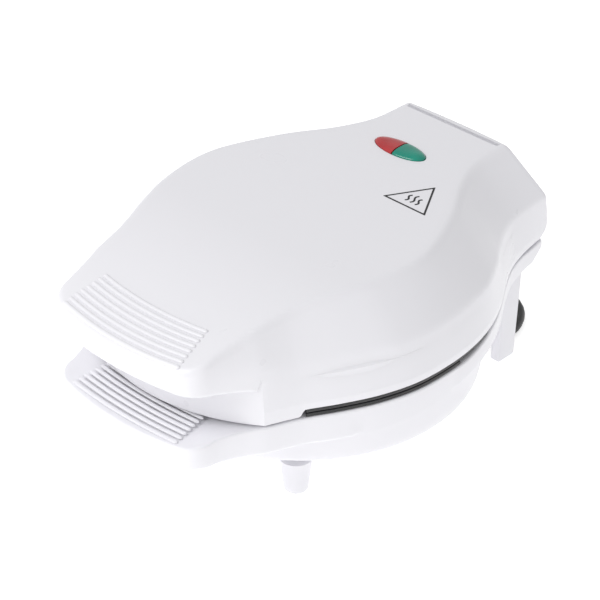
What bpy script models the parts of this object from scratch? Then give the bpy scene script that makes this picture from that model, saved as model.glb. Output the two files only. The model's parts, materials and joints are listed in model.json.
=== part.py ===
"""A hinged donut maker: two plastic housings that close like a clamshell round two ring-mould plates.

The origin is on the standing surface, under the middle of the closed object. +Z is up, the handles point
to -Y and the hinge is at +Y. Lengths here are in millimetres, and the meshes are in metres.
"""

import math

import bmesh
import bpy
from mathutils import Matrix, Vector

MM = 0.001
GAP = 0.3  # between neighbours that touch on the real object

# Overall shape
BODY_CENTRE_Y = -2.5
LID_TOP = 115.0
LID_BOTTOM = 58.3
LID_NOTCH = 62.0  # lower edge of the lid where it shows the plates' rims
NOTCH_FRONT = -74.5
BASE_RIM = 57.0
BOWL_BOTTOM = 24.0
BOWL_RADIUS = 94.5
WALL = 2.5

# Handles
BODY_CORNER = (61.0, -92.5)  # where the front wall meets the side
FRONT_WALL_Y = -112.5
LID_HANDLE_HALF, LID_HANDLE_FRONT = 50.5, -134.5
BASE_HANDLE_HALF, BASE_HANDLE_FRONT = 50.0, -133.0
HANDLE_ARC, HANDLE_CORNER = 185.0, 14.0
HANDLE_BEND_Y = -35.5  # the lid's top falls away in front of this
HANDLE_BEND = 0.00186
LID_HANDLE_UNDER = 78.5
BASE_HANDLE_UNDER = 41.0
SHELF_UNDER = 50.0  # underside of the base behind the bowl

# Half widths (y, x) of the outline at three heights
TOP_WIDTHS = ((-122.5, 50.5), (-100, 53.5), (-72.5, 57.5), (-50, 65.3), (-30, 71.5), (-5, 75), (14, 72.5),
              (46, 58.6), (70, 43.8), (90, 36), (112, 34.5))
SHOULDER_WIDTHS = ((-105.5, 56), (-78.5, 63.5), (-60.5, 72), (-45.5, 79.5), (-26, 88), (2, 91.5), (39.5, 86),
                   (60.5, 76), (76.5, 65), (94.5, 56), (113, 53), (128, 53))
SKIRT_WIDTHS = ((-92.5, 61), (-74.5, 69), (-58.5, 78.3), (-40, 87.4), (-20, 93.4), (0, 95), (20, 93.8), (40, 89),
                (58, 81), (76.5, 69.5), (91.5, 61.3), (105, 57), (117, 54.6), (127.5, 52.8))
STATIONS = (-84, -75.5, -73.5, -64, -54, -44, -34, -24, -13, -2.5, 8, 19, 30, 40, 50, 60, 70, 80, 90, 101, 111)
REAR_BLEND_Y = 60  # stations behind this stretch to each height's rear edge
REAR_CORNER = 3.0
REAR_BOW = 1.0
REAR_MAX = 134.5
FRONT_STEPS = 8

# Hinge
HINGE_Y, HINGE_Z = 124.0, 71.5
HINGE_BLOCK_RADIUS, HINGE_BLOCK_HALF = 10.5, 40.0
PIN_RADIUS = 2.0

# Plates, seen as the lower one; the upper one is its mirror image about MID_Z
MID_Z = 59.5
PLATE_FACE = 59.3
PLATE_RADIUS = 91.5
WELL_RADIUS = 92.3  # the opening in each housing that the plate sits in
DECK = 2.5
WING_FRONT, WING_DEPTH, WING_INSET = -72.4, 2.0, 0.8
LOWER_WING_REAR, UPPER_WING_REAR = 12.0, 40.0
RING_PITCH = 54.0
RING_COUNT = 6
BUMP_DEPTH = 11.0
SCREW_CIRCLE = 80.0
SCREW_ANGLES = (60, 120, 240, 300)
PAD_DEPTH = 6.0

# Heating element and reflector
HEATER_RADIUS, HEATER_TUBE = 54.0, 3.25
REFLECTOR_RADIUS = 73.0

# Indicator lens
LENS_X, LENS_Y = -2.8, 74.0
LENS_HALF, LENS_DEEP = 16.4, 6.9
LENS_BOSS = 26.0  # from the lens to each screw of the lamp bracket

# Feet and legs
FOOT_X, FOOT_Y = 52.5, -62.0
LEG_OUTER_X, LEG_INNER_X = 57.0, 50.5
LEG_FRONT_Y, LEG_REAR_Y, LEG_TOP_REAR_Y = 90.0, 103.0, 106.0

# Mains cord, on the floor behind the base
CORD = 6.4
RELIEF_START = (41.0, 73.6, 32.4)
RELIEF_END = (43.6, 92.0, 14.2)
COIL_CENTRE = (-62.0, 168.0)
COIL_RADIUS = 35.0
COIL_HEIGHT = 12.2
CORD_ROUTE = ((43.6, 92.2, 14.0), (44.1, 96.5, 10.2), (44.5, 102, 6.5), (44.7, 108, 4.2), (44.3, 115, 3.4),
              (42.2, 123, 3.3), (37.3, 131, 3.3), (29.6, 137, 3.3), (20, 139.8, 3.3), (9, 139.8, 3.3),
              (-3, 137.6, 3.3), (-16, 134, 3.3), (-27, 131.2, 3.3), (-38, 129.9, 3.3))
TAIL_ROUTE = ((-106.2, 177.6, 8.0), (-108.2, 183, 7.6), (-110.3, 190.7, 7.5))
PLUG_AT = (-110.4, 191.0, 7.5)
PLUG_TURN = 14.0
PLUG_SIZE = (22.0, 24.0, 14.0)
BLADE_SIZE = (1.5, 17.0, 6.2)
BLADE_PITCH = 12.7

WHITE = ("white_plastic", (0.86, 0.86, 0.88), 0.3, 0.0)
BLACK = ("nonstick_aluminium", (0.03, 0.03, 0.032), 0.45, 0.2)
STEEL = ("bright_steel", (0.65, 0.66, 0.68), 0.3, 1.0)
SHEET = ("aluminised_sheet", (0.72, 0.73, 0.75), 0.35, 1.0)
RED = ("red_lens", (0.6, 0.04, 0.04), 0.2, 0.0)
GREEN = ("green_lens", (0.0, 0.33, 0.22), 0.2, 0.0)
GLASS = ("lamp_glass", (0.85, 0.7, 0.6), 0.1, 0.0)
CREAM = ("cream_ceramic", (0.85, 0.82, 0.74), 0.5, 0.0)
CABLE = ("black_rubber", (0.02, 0.02, 0.02), 0.5, 0.0)
BRASS = ("brass", (0.7, 0.52, 0.25), 0.3, 1.0)


# --- Building blocks -------------------------------------------------------------------------------------------


def clear_scene():
    for obj in list(bpy.data.objects):
        bpy.data.objects.remove(obj)


def material(spec):
    name, colour, roughness, metallic = spec
    found = bpy.data.materials.get(name)
    if found:
        return found
    made = bpy.data.materials.new(name)
    made.use_nodes = True
    shader = made.node_tree.nodes["Principled BSDF"]
    shader.inputs["Base Color"].default_value = (*colour, 1)
    shader.inputs["Roughness"].default_value = roughness
    shader.inputs["Metallic"].default_value = metallic
    return made


def add(name, bm, spec):
    """Makes an object of a bmesh. Objects are brought to metres together, once all are made."""
    bmesh.ops.recalc_face_normals(bm, faces=bm.faces)
    mesh = bpy.data.meshes.new(name)
    bm.to_mesh(mesh)
    bm.free()
    mesh.materials.append(material(spec))
    obj = bpy.data.objects.new(name, mesh)
    bpy.context.scene.collection.objects.link(obj)
    return obj


def loft(rings, ladder=False):
    """A closed solid through rings of points; ladder caps join each ring's right side to its mirrored left."""
    bm = bmesh.new()
    loops = [[bm.verts.new(point) for point in ring] for ring in rings]
    count = len(rings[0])
    for lower, upper in zip(loops, loops[1:]):
        for i in range(count):
            j = (i + 1) % count
            bm.faces.new((lower[i], lower[j], upper[j], upper[i]))
    for loop in (loops[0], loops[-1]):
        if not ladder:
            bm.faces.new(loop)
            continue
        half = count // 2
        for i in range(half):
            corners = [loop[i], loop[i + 1], loop[-i - 1], loop[-i]]
            bm.faces.new(list(dict.fromkeys(corners)))
    return bm


def turned(profile, centre=(0, 0), segments=24, ring=False):
    """A solid of revolution about +Z: profile (radius, z) with flat ends, or a closed loop when ring is set."""
    angles = [2 * math.pi * i / segments for i in range(segments)]
    rings = [[(centre[0] + radius * math.cos(a), centre[1] + radius * math.sin(a), z) for a in angles]
             for radius, z in profile]
    if not ring:
        return loft(rings)
    bm = bmesh.new()
    loops = [[bm.verts.new(point) for point in points] for points in rings]
    for lower, upper in zip(loops, loops[1:] + loops[:1]):
        for i in range(segments):
            j = (i + 1) % segments
            bm.faces.new((lower[i], lower[j], upper[j], upper[i]))
    return bm


def cylinder(start, end, radius, end_radius=None, segments=16):
    """A cylinder or cone between two points."""
    start, end = Vector(start), Vector(end)
    bm = turned(((radius, 0), (end_radius or radius, (end - start).length)), segments=segments)
    turn = Vector((0, 0, 1)).rotation_difference(end - start).to_matrix().to_4x4()
    bmesh.ops.transform(bm, matrix=Matrix.Translation(start) @ turn, verts=bm.verts)
    return bm


def box(low, high, bevel=0.0):
    bm = bmesh.new()
    bmesh.ops.create_cube(bm, size=1)
    size = [h - l for l, h in zip(low, high)]
    bmesh.ops.scale(bm, vec=size, verts=bm.verts)
    bmesh.ops.translate(bm, vec=[(l + h) / 2 for l, h in zip(low, high)], verts=bm.verts)
    if bevel:
        bmesh.ops.bevel(bm, geom=list(bm.edges), offset=bevel, segments=1, affect="EDGES")
    return bm


def combine(obj, bm, operation):
    """Applies one exact Boolean with a solid."""
    tool = add("tool", bm, WHITE)
    modifier = obj.modifiers.new(operation, "BOOLEAN")
    modifier.operation = operation
    modifier.object = tool
    bpy.context.view_layer.update()
    result = bpy.data.meshes.new_from_object(obj.evaluated_get(bpy.context.evaluated_depsgraph_get()))
    obj.modifiers.clear()
    obj.data = result
    bpy.data.objects.remove(tool)


def join(obj, bm):
    combine(obj, bm, "UNION")


def cut(obj, bm):
    combine(obj, bm, "DIFFERENCE")


def smooth_path(points, spacing):
    """Points about spacing apart on a Catmull-Rom curve through the given ones."""
    points = [Vector(p) for p in points]
    ends = [2 * points[0] - points[1]] + points + [2 * points[-1] - points[-2]]
    path = []
    for a, b, c, d in zip(ends, ends[1:], ends[2:], ends[3:]):
        steps = max(1, round((c - b).length / spacing))
        for i in range(steps):
            t = i / steps
            path.append(0.5 * (2 * b + (c - a) * t + (2 * a - 5 * b + 4 * c - d) * t**2
                               + (3 * b - a - 3 * c + d) * t**3))
    return path + [points[-1]]


def tube(name, points, radius, spec, resolution=2):
    """A curve object of round section through points."""
    curve = bpy.data.curves.new(name, "CURVE")
    curve.dimensions = "3D"
    curve.bevel_depth = radius * MM
    curve.bevel_resolution = resolution
    curve.use_fill_caps = True
    spline = curve.splines.new("POLY")
    spline.points.add(len(points) - 1)
    for knot, point in zip(spline.points, points):
        knot.co = (*(Vector(point) * MM), 1)
    curve.materials.append(material(spec))
    obj = bpy.data.objects.new(name, curve)
    bpy.context.scene.collection.objects.link(obj)
    return obj


def interpolate(table, at):
    """Value at a position on the smooth curve through a table of (position, value)."""
    if at <= table[0][0]:
        return table[0][1]
    for i in range(len(table) - 1):
        (p0, v0), (p1, v1) = table[i], table[i + 1]
        if at <= p1:
            before = table[max(i - 1, 0)]
            after = table[min(i + 2, len(table) - 1)]
            slope0 = (v1 - before[1]) / (p1 - before[0])
            slope1 = (after[1] - v0) / (after[0] - p0)
            span, t = p1 - p0, (at - p0) / (p1 - p0)
            return (v0 * (2 * t**3 - 3 * t**2 + 1) + v1 * (3 * t**2 - 2 * t**3)
                    + span * (slope0 * (t**3 - 2 * t**2 + t) + slope1 * (t**3 - t**2)))
    return table[-1][1]


# --- The shared vase-shaped outline ----------------------------------------------------------------------------


def side_of(widths, rear):
    """Right side of the outline from behind the body corner to the middle of the rear edge."""
    last = STATIONS[-1]
    stretch = (rear - REAR_CORNER - REAR_BLEND_Y) / (last + 6 - REAR_BLEND_Y)
    ys = [y if y < REAR_BLEND_Y else REAR_BLEND_Y + (y - REAR_BLEND_Y) * stretch for y in (*STATIONS, last + 6)]
    points = [(interpolate(widths, y), y) for y in ys]
    corner_x, corner_y = points[-1][0] - REAR_CORNER, rear - REAR_CORNER
    for turn in (45, 90):
        a = math.radians(turn)
        points.append((corner_x + REAR_CORNER * math.cos(a), corner_y + REAR_CORNER * math.sin(a)))
    return points + [(corner_x / 2, rear + 0.75 * REAR_BOW), (0.0, rear + REAR_BOW)]


def handle_front(half, front, corner):
    """From the middle of a handle's front, round its corner and along its side to the body corner."""
    centre_x = half - HANDLE_CORNER
    tilt = math.asin(centre_x / (HANDLE_ARC - HANDLE_CORNER))
    join_x = HANDLE_ARC * math.sin(tilt)
    centre_y = front + HANDLE_ARC - (HANDLE_ARC - HANDLE_CORNER) * math.cos(tilt)
    points = []
    for x in (0, 0.4 * join_x, 0.75 * join_x):
        points.append((x, front + HANDLE_ARC - math.sqrt(HANDLE_ARC**2 - x**2)))
    for step in range(4):
        a = -math.pi / 2 + tilt + (math.pi / 2 - tilt) * step / 3
        points.append((centre_x + HANDLE_CORNER * math.cos(a), centre_y + HANDLE_CORNER * math.sin(a)))
    middle = ((half + corner[0]) / 2 - 1, (centre_y + corner[1]) / 2)
    return points + [middle, corner]


def front_wall():
    """The curved wall set back under the lid's handle."""
    x1, y1 = BODY_CORNER
    rise = y1 - FRONT_WALL_Y
    radius = (x1**2 + rise**2) / (2 * rise)
    return [(x1 * i / FRONT_STEPS, FRONT_WALL_Y + radius - math.sqrt(radius**2 - (x1 * i / FRONT_STEPS) ** 2))
            for i in range(FRONT_STEPS + 1)]


def inset(points, distance):
    """Moves a right half outline inwards by a number or a function of y, keeping its ends on the middle plane."""
    moved = []
    for i, (x, y) in enumerate(points):
        before = points[i - 1] if i else (-points[1][0], points[1][1])
        after = points[i + 1] if i + 1 < len(points) else (-points[-2][0], points[-2][1])
        along = Vector((after[0] - before[0], after[1] - before[1])).normalized()
        reach = distance(y) if callable(distance) else distance
        moved.append((x - along.y * reach, y + along.x * reach))
    return moved


def full_outline(widths, rear, half, front):
    side = side_of(widths, rear)
    corner = (interpolate(widths, BODY_CORNER[1]), BODY_CORNER[1])
    return handle_front(half, front, corner) + side


def body_outline(rear):
    return front_wall() + side_of(SKIRT_WIDTHS, rear)


def circle(radius):
    """A circle round the body's centre, with one point for each point of the body outline."""
    centre = Vector((0, BODY_CENTRE_Y))
    rays = [(Vector(p) - centre).normalized() for p in body_outline(REAR_MAX)]
    return [(r.x * radius, BODY_CENTRE_Y + r.y * radius) for r in rays]


def ring(half_points, height):
    """A closed ring from a right half outline; height is a number, a function of (x, y) or one number a point."""
    if callable(height):
        height = [height(x, y) for x, y in half_points]
    elif not isinstance(height, list):
        height = [height] * len(half_points)
    right = [(x, y, z) for (x, y), z in zip(half_points, height)]
    left = [(-x, y, z) for x, y, z in reversed(right[1:-1])]
    return right + left


def top_height(y):
    """Height of the lid's top face."""
    return LID_TOP - HANDLE_BEND * max(HANDLE_BEND_Y - y, 0) ** 2


def blend(low, high, at):
    t = min(max((at - low) / (high - low), 0), 1)
    return t * t * (3 - 2 * t)


def lid_edge(y):
    """The lid's lower edge, stepped up behind the front corners."""
    return LID_NOTCH if y > NOTCH_FRONT else LID_BOTTOM


def rim_height(x, y):
    """The base's top face: lower along the handle, and rising to the hinge."""
    return BASE_RIM - 3.5 * (max(-95 - y, 0) / 38) ** 2 + 3.5 * blend(15, 62, y) - 0.7 * blend(105, 113, y)


def under_height(x, y):
    """Underside of the base's handle and rear shelf, a little deeper in the middle of the shelf for the lead."""
    keel = 2 * (1 - blend(22, 44, abs(x))) * blend(60, 95, y)
    return BASE_HANDLE_UNDER + (SHELF_UNDER - BASE_HANDLE_UNDER) * blend(-70, 95, y) - keel


# --- Housings --------------------------------------------------------------------------------------------------


def lid_shell():
    top = full_outline(TOP_WIDTHS, 117.5, LID_HANDLE_HALF, LID_HANDLE_FRONT + 1.5)
    shoulder = full_outline(SHOULDER_WIDTHS, 130.5, LID_HANDLE_HALF + 1, LID_HANDLE_FRONT)
    skirt = full_outline(SKIRT_WIDTHS, REAR_MAX - 1, LID_HANDLE_HALF + 0.8, LID_HANDLE_FRONT + 0.3)
    body = body_outline(REAR_MAX - REAR_BOW)
    lower = body_outline(127.5)
    edge = [lid_edge(y) for x, y in lower]

    def shoulder_height(x, y):
        return max(86, top_height(y) - 6 - 23 * blend(-125, -60, y))

    def under(x, y):
        return LID_HANDLE_UNDER + 8.5 * (1 - blend(-132, -90, y))

    def above(offset):
        return lambda x, y: top_height(y) + offset

    rings = [
        ring(inset(top, 2.2), above(0)),
        ring(inset(top, 0.3), above(-1.4)),
        ring(shoulder, shoulder_height),
        ring(skirt, lambda x, y: under(x, y) + 2),
        ring(inset(skirt, lambda y: 1.6 * (1 - blend(-93, -84, y))), under),
        ring(body, LID_HANDLE_UNDER - 1.0),
        ring(body, 66),
        ring(lower, edge),
        ring(circle(WELL_RADIUS), edge),
        ring(circle(WELL_RADIUS), 65),
        ring(inset(body, WALL), 65.2),
        ring(inset(body, WALL), LID_HANDLE_UNDER + 0.5),
        ring(inset(skirt, WALL + 1.6), lambda x, y: under(x, y) + WALL),
        ring(inset(shoulder, WALL), lambda x, y: shoulder_height(x, y) - 0.5),
        ring(inset(top, WALL + 1), above(-WALL)),
    ]
    return loft(rings, ladder=True)


def screw_points():
    for angle in SCREW_ANGLES:
        a = math.radians(angle)
        yield SCREW_CIRCLE * math.cos(a), BODY_CENTRE_Y + SCREW_CIRCLE * math.sin(a)


def upper_housing():
    obj = add("upper_housing", lid_shell(), WHITE)
    pad_top = 2 * MID_Z - (PLATE_FACE - PAD_DEPTH) + GAP
    for x, y in screw_points():
        join(obj, cylinder((x, y, pad_top), (x, y, top_height(y) - 1.5), 4.0))
        cut(obj, cylinder((x, y, pad_top - 1), (x, y, pad_top + 12), 1.7, segments=12))
    for side in (-1, 1):
        join(obj, cylinder((LENS_X + side * LENS_BOSS, LENS_Y, 98.4), (LENS_X + side * LENS_BOSS, LENS_Y, LID_TOP - 1.5), 3.2, segments=12))
        cut(obj, cylinder((LENS_X + side * LENS_BOSS, LENS_Y, 97), (LENS_X + side * LENS_BOSS, LENS_Y, 108), 1.5, segments=10))
        join(obj, cylinder((side * 40.8, HINGE_Y, HINGE_Z), (side * 51, HINGE_Y, HINGE_Z), 7.0, segments=20))
    reach = HINGE_BLOCK_HALF + 0.6
    cut(obj, box((-reach, HINGE_Y - 12, LID_BOTTOM - 2), (reach, REAR_MAX + 3, HINGE_Z + 11.7)))
    for side in (-1, 1):
        cut(obj, cylinder((side * 39, HINGE_Y, HINGE_Z), (side * 49.5, HINGE_Y, HINGE_Z), PIN_RADIUS + 0.06,
                          segments=24))
    cut(obj, lens_solid(0.4, LID_TOP - 4, LID_TOP + 2))


def base_shell():
    full = full_outline(SKIRT_WIDTHS, 128, BASE_HANDLE_HALF, BASE_HANDLE_FRONT)
    slab = inset(full, 1.8)
    under = full_outline(SKIRT_WIDTHS, 118, BASE_HANDLE_HALF, BASE_HANDLE_FRONT)

    def away(distance):
        """An inset that fades out where the rim stands no further out than the bowl."""
        return lambda y: distance * (1 - blend(-90, -75, y) + blend(75, 95, y))

    def pocket(offset):
        return lambda x, y: under_height(x, y) + offset

    rings = [
        ring(circle(84), BOWL_BOTTOM + WALL),
        ring(circle(90.3), BOWL_BOTTOM + 7),
        ring(circle(WELL_RADIUS - 0.6), pocket(1.6)),
        ring(inset(under, 3.2), pocket(2.2)),
        ring(inset(full, WALL), lambda x, y: rim_height(x, y) - 1.9),
        ring(circle(WELL_RADIUS - 0.3), lambda x, y: rim_height(x, y) - 1.8),
        ring(circle(WELL_RADIUS), rim_height),
        ring(inset(full, 1.0), rim_height),
        ring(full, lambda x, y: rim_height(x, y) - 1.2),
        ring(full, lambda x, y: rim_height(x, y) - 4),
        ring(inset(under, away(0.4)), pocket(2.5)),
        ring(inset(under, away(2.4)), pocket(0)),
        ring(circle(BOWL_RADIUS - 0.2), pocket(-0.8)),
        ring(circle(93.4), 30),
        ring(circle(91.8), 26),
        ring(circle(88.5), BOWL_BOTTOM),
    ]
    return loft(rings, ladder=True)


def foot(x, y):
    return turned(((9.6, 28), (9.2, 23), (8.0, 19), (7.2, 8), (6.3, 1), (5.2, 0)), (x, y), 16)


def leg(side):
    """A flat rear leg with rounded corners, deeper at its top."""
    bm = box((LEG_INNER_X, LEG_FRONT_Y, 0), (LEG_OUTER_X, LEG_REAR_Y, SHELF_UNDER + 2), bevel=1.2)
    for vertex in bm.verts:
        if vertex.co.y > LEG_REAR_Y - 2 and vertex.co.z > 2:
            vertex.co.y += LEG_TOP_REAR_Y - LEG_REAR_Y
    if side < 0:
        bmesh.ops.transform(bm, matrix=Matrix.Scale(-1, 4, (1, 0, 0)), verts=bm.verts)
        bmesh.ops.reverse_faces(bm, faces=bm.faces)
    return bm


def hinge_block(obj):
    """The raised barrel that the lid's cheeks turn on, with room inside for the lid's lead."""
    half = HINGE_BLOCK_HALF
    barrel = (-half, HINGE_Y, HINGE_Z), (half, HINGE_Y, HINGE_Z)
    join(obj, cylinder(*barrel, HINGE_BLOCK_RADIUS, segments=32))
    join(obj, box((1 - half, HINGE_Y - 6, 56), (half - 1, HINGE_Y + 3.5, HINGE_Z - 5)))
    cut(obj, box((-30, HINGE_Y - 4.5, 60.5), (30, HINGE_Y + 2, HINGE_Z + 5.5)))
    cut(obj, box((9, 112, 52), (19, HINGE_Y + 0.5, 62)))
    cut(obj, box((9, HINGE_Y - 12, HINGE_Z - 4), (19, HINGE_Y - 4, HINGE_Z + 4)))
    for side in (-1, 1):
        cut(obj, cylinder((side * 28, HINGE_Y, HINGE_Z), (side * 42, HINGE_Y, HINGE_Z), PIN_RADIUS + 0.06,
                          segments=24))


def lower_housing():
    obj = add("lower_housing", base_shell(), WHITE)
    pad_bottom = PLATE_FACE - PAD_DEPTH - GAP
    for x, y in screw_points():
        join(obj, cylinder((x, y, BOWL_BOTTOM + 1), (x, y, pad_bottom), 4.0))
        cut(obj, cylinder((x, y, pad_bottom - 12), (x, y, pad_bottom + 1), 1.7, segments=12))
    for side in (-1, 1):
        join(obj, foot(side * FOOT_X, FOOT_Y))
        join(obj, leg(side))
    hinge_block(obj)
    cut(obj, cylinder(RELIEF_START, RELIEF_END, 5.6))


# --- Plates, heaters and reflectors ----------------------------------------------------------------------------


def mirrored(obj):
    """Turns a piece of the lower half into the matching piece of the upper half."""
    if obj.type == "CURVE":
        for knot in obj.data.splines[0].points:
            knot.co.z = 2 * MID_Z * MM - knot.co.z
        return
    for vertex in obj.data.vertices:
        vertex.co.z = 2 * MID_Z - vertex.co.z
    obj.data.flip_normals()


def ring_centres():
    yield 0.0, BODY_CENTRE_Y
    for i in range(RING_COUNT):
        a = math.radians(30 + 60 * i)
        yield RING_PITCH * math.cos(a), BODY_CENTRE_Y + RING_PITCH * math.sin(a)


def wing(side, rear):
    """A flange that reaches out over the housing's rim, from the notch's front end to a rear end."""
    face = PLATE_FACE
    ys = [y for y in (WING_FRONT, -64, -54, -44, -34, -24, -13, -2.5, 8, 19, 30) if y < rear - 2] + [rear]
    outer = [(interpolate(SKIRT_WIDTHS, y) - WING_INSET, y) for y in ys]
    inner = []
    for x, y in reversed(outer):
        reach = (PLATE_RADIUS - 3) / math.hypot(x, y - BODY_CENTRE_Y)
        inner.append((x * reach, BODY_CENTRE_Y + (y - BODY_CENTRE_Y) * reach))
    points = [(side * x, y) for x, y in outer + inner][::side]
    return loft([[(x, y, z) for x, y in points] for z in (face - WING_DEPTH, face)])


def plate(name, wing_rear):
    """A cast plate: a deck with a turned-down edge, two side flanges, seven ring moulds and four screw pads."""
    face = PLATE_FACE
    centre = (0, BODY_CENTRE_Y)
    profile = ((PLATE_RADIUS, face), (PLATE_RADIUS, face - 5), (PLATE_RADIUS - 2, face - 5),
               (PLATE_RADIUS - 2, face - DECK))
    obj = add(name, turned(profile, centre, 56), BLACK)
    for side in (-1, 1):
        join(obj, wing(side, wing_rear))
    for x, y in ring_centres():
        join(obj, turned(((24.5, face - 1), (24.5, face - 4), (20, face - BUMP_DEPTH)), (x, y), 16))
    for x, y in screw_points():
        join(obj, cylinder((x, y, face - PAD_DEPTH), (x, y, face - 1), 5.5, segments=12))
    for x, y in ring_centres():
        well = ((23.2, face + 1), (22.6, face - 4), (19, face - 8.3), (13, face - 8.3), (9.4, face - 4), (8.6, face + 1))
        cut(obj, turned(well, (x, y), 16, ring=True))
    for x, y in screw_points():
        cut(obj, cylinder((x, y, face - PAD_DEPTH - 1), (x, y, face + 1), 1.9, segments=10))
        cut(obj, cylinder((x, y, face - 2.3), (x, y, face + 1), 3.9, segments=14))
    cut(obj, cylinder((0, BODY_CENTRE_Y, face - BUMP_DEPTH - 1), (0, BODY_CENTRE_Y, face - 6), 2.2, segments=12))
    return obj


def heater(name):
    """A sheathed element bent into an open ring, with its two cold ends turned in."""
    z = PLATE_FACE - BUMP_DEPTH - GAP - HEATER_TUBE
    points = [(-9, BODY_CENTRE_Y + 38, z)]
    for i in range(29):
        a = math.radians(100 + 340 * i / 28)
        points.append((HEATER_RADIUS * math.cos(a), BODY_CENTRE_Y + HEATER_RADIUS * math.sin(a), z))
    points.append((9, BODY_CENTRE_Y + 38, z))
    return tube(name, points, HEATER_TUBE, STEEL)


def reflector(name):
    """A pressed sheet dish behind the heater, with a raised middle that the screw pulls against the plate."""
    low = PLATE_FACE - BUMP_DEPTH - 2 * HEATER_TUBE - 3 * GAP - 0.8
    touch = PLATE_FACE - BUMP_DEPTH - GAP
    sheet, edge = 0.8, REFLECTOR_RADIUS
    profile = ((2.4, touch), (8.5, touch), (18.5, low + sheet), (edge - 1.5, low + sheet), (edge - 1, low + 7),
               (edge, low + 7), (edge - 0.6, low), (18, low), (8, touch - sheet), (2.4, touch - sheet))
    return add(name, turned(profile, (0, BODY_CENTRE_Y), 28, ring=True), SHEET)


def reflector_screw(name):
    under = PLATE_FACE - BUMP_DEPTH - 2 * GAP - 0.8
    profile = ((2.0, under + 6), (2.0, under), (4.2, under), (3.8, under - 2.2))
    return add(name, turned(profile, (0, BODY_CENTRE_Y), 12), STEEL)


def plate_screws(prefix):
    head = PLATE_FACE - GAP
    profile = ((3.0, head), (3.4, head - 0.6), (3.4, head - 1.7), (1.5, head - 1.7), (1.5, head - 15),
               (0.6, head - 15.6))
    return [add(f"{prefix}_{number}", turned(profile, point, 10), STEEL)
            for number, point in enumerate(screw_points(), 1)]


def heated_half(prefix, wing_rear):
    """Everything that is made for the base and, mirrored, for the lid."""
    return [plate(f"{prefix}_plate", wing_rear), heater(f"{prefix}_heater"), reflector(f"{prefix}_reflector"),
            reflector_screw(f"{prefix}_reflector_screw"), *plate_screws(f"{prefix}_plate_screw")]


# --- Hinge, lamps and lenses -----------------------------------------------------------------------------------


def hinge_pins():
    for name, side in (("hinge_pin_left", -1), ("hinge_pin_right", 1)):
        add(name, cylinder((side * 31, HINGE_Y, HINGE_Z), (side * 49, HINGE_Y, HINGE_Z), PIN_RADIUS, segments=24),
            STEEL)


def oval(grow, z, steps=24):
    return [(LENS_X + (LENS_HALF + grow) * math.cos(2 * math.pi * i / steps),
             LENS_Y + (LENS_DEEP + grow) * math.sin(2 * math.pi * i / steps), z) for i in range(steps)]


def lens_solid(grow, low, high):
    return loft([oval(grow, low), oval(grow, high)])


def half_oval(grow, z, side, steps=10):
    """Half of an oval, cut off just beside the middle plane."""
    split = 0.35
    points = []
    for i in range(steps + 1):
        a = math.pi / 2 - math.pi * i / steps
        points.append((LENS_X + side * (split + (LENS_HALF + grow - split) * math.cos(a)),
                       LENS_Y + (LENS_DEEP + grow) * math.sin(a), z))
    return points


def lens(name, side, spec):
    flange = LID_TOP - WALL - GAP
    levels = ((2.2, flange - 2), (2.2, flange), (0, flange), (0, LID_TOP + 0.5), (-0.9, LID_TOP + 1.3),
              (-2.8, LID_TOP + 2.0))
    add(name, loft([half_oval(grow, z, side) for grow, z in levels]), spec)


def lamps():
    for name, side in (("red_neon_lamp", -1), ("green_neon_lamp", 1)):
        x0, x1 = LENS_X + side * 3, LENS_X + side * 15
        add(name, cylinder((x0, LENS_Y, 101.8), (x1, LENS_Y, 101.8), 3.0, segments=12), GLASS)
    bracket = add("lamp_bracket", box((LENS_X - LENS_BOSS - 4, LENS_Y - 6, 96.6), (LENS_X + LENS_BOSS + 4, LENS_Y + 6, 98.1), bevel=0.4), STEEL)
    for side in (-1, 1):
        screw = LENS_X + side * LENS_BOSS
        cut(bracket, cylinder((screw, LENS_Y, 95), (screw, LENS_Y, 100), 1.6, segments=10))
        tab = LENS_X + side * 1.5
        join(bracket, box((tab - 0.6, LENS_Y - 3, 97), (tab + 0.6, LENS_Y + 3, 103)))
    for number, side in enumerate((-1, 1), 1):
        profile = ((1.2, 105), (1.2, 96.3), (2.7, 96.3), (2.5, 94.8))
        add(f"lamp_bracket_screw_{number}", turned(profile, (LENS_X + side * LENS_BOSS, LENS_Y), 12), STEEL)


# --- Electrical pieces in the base -----------------------------------------------------------------------------


def electrics():
    floor = BOWL_BOTTOM + WALL + GAP
    bracket = add("thermostat_bracket", box((14, 14, floor + 10), (46, 24, floor + 11), bevel=0.3), STEEL)
    join(bracket, box((14, 14, floor), (15, 24, floor + 10.5)))
    join(bracket, box((6, 14, floor), (15, 24, floor + 1)))
    add("thermostat", cylinder((32, 19, floor + 2.5), (32, 19, floor + 9.7), 8.0, segments=20), CREAM)
    add("thermal_fuse", cylinder((-38, 10, floor + 3), (-22, 10, floor + 3), 2.2, segments=12), STEEL)
    block = add("terminal_block", box((-24, 46, floor), (0, 58, floor + 9), bevel=0.6), CREAM)
    for x in (-18, -12, -6):
        cut(block, cylinder((x, 52, floor + 5), (x, 52, floor + 12), 1.6, segments=10))
    clamp = add("cord_clamp", box((14, 52, floor), (28, 59, floor + 9), bevel=0.6), CREAM)
    cut(clamp, box((17.5, 50, floor - 1), (24.5, 61, floor + 6.5)))
    lead = ((8, 56, 37), (11, 66, 37.6), (13.4, 75, 41), (14, 81.5, 48), (14, 88.5, 51.8), (14, 100, 52), (14, 111, 52),
            (14, 116, 53.6), (14, 119.6, 57), (14, 121.6, 62), (14, 121.4, 67.5), (14, 118.6, 71.4), (14, 115.2, 72.6))
    tube("base_lead", smooth_path(lead, 4), 1.2, CREAM)


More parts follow.
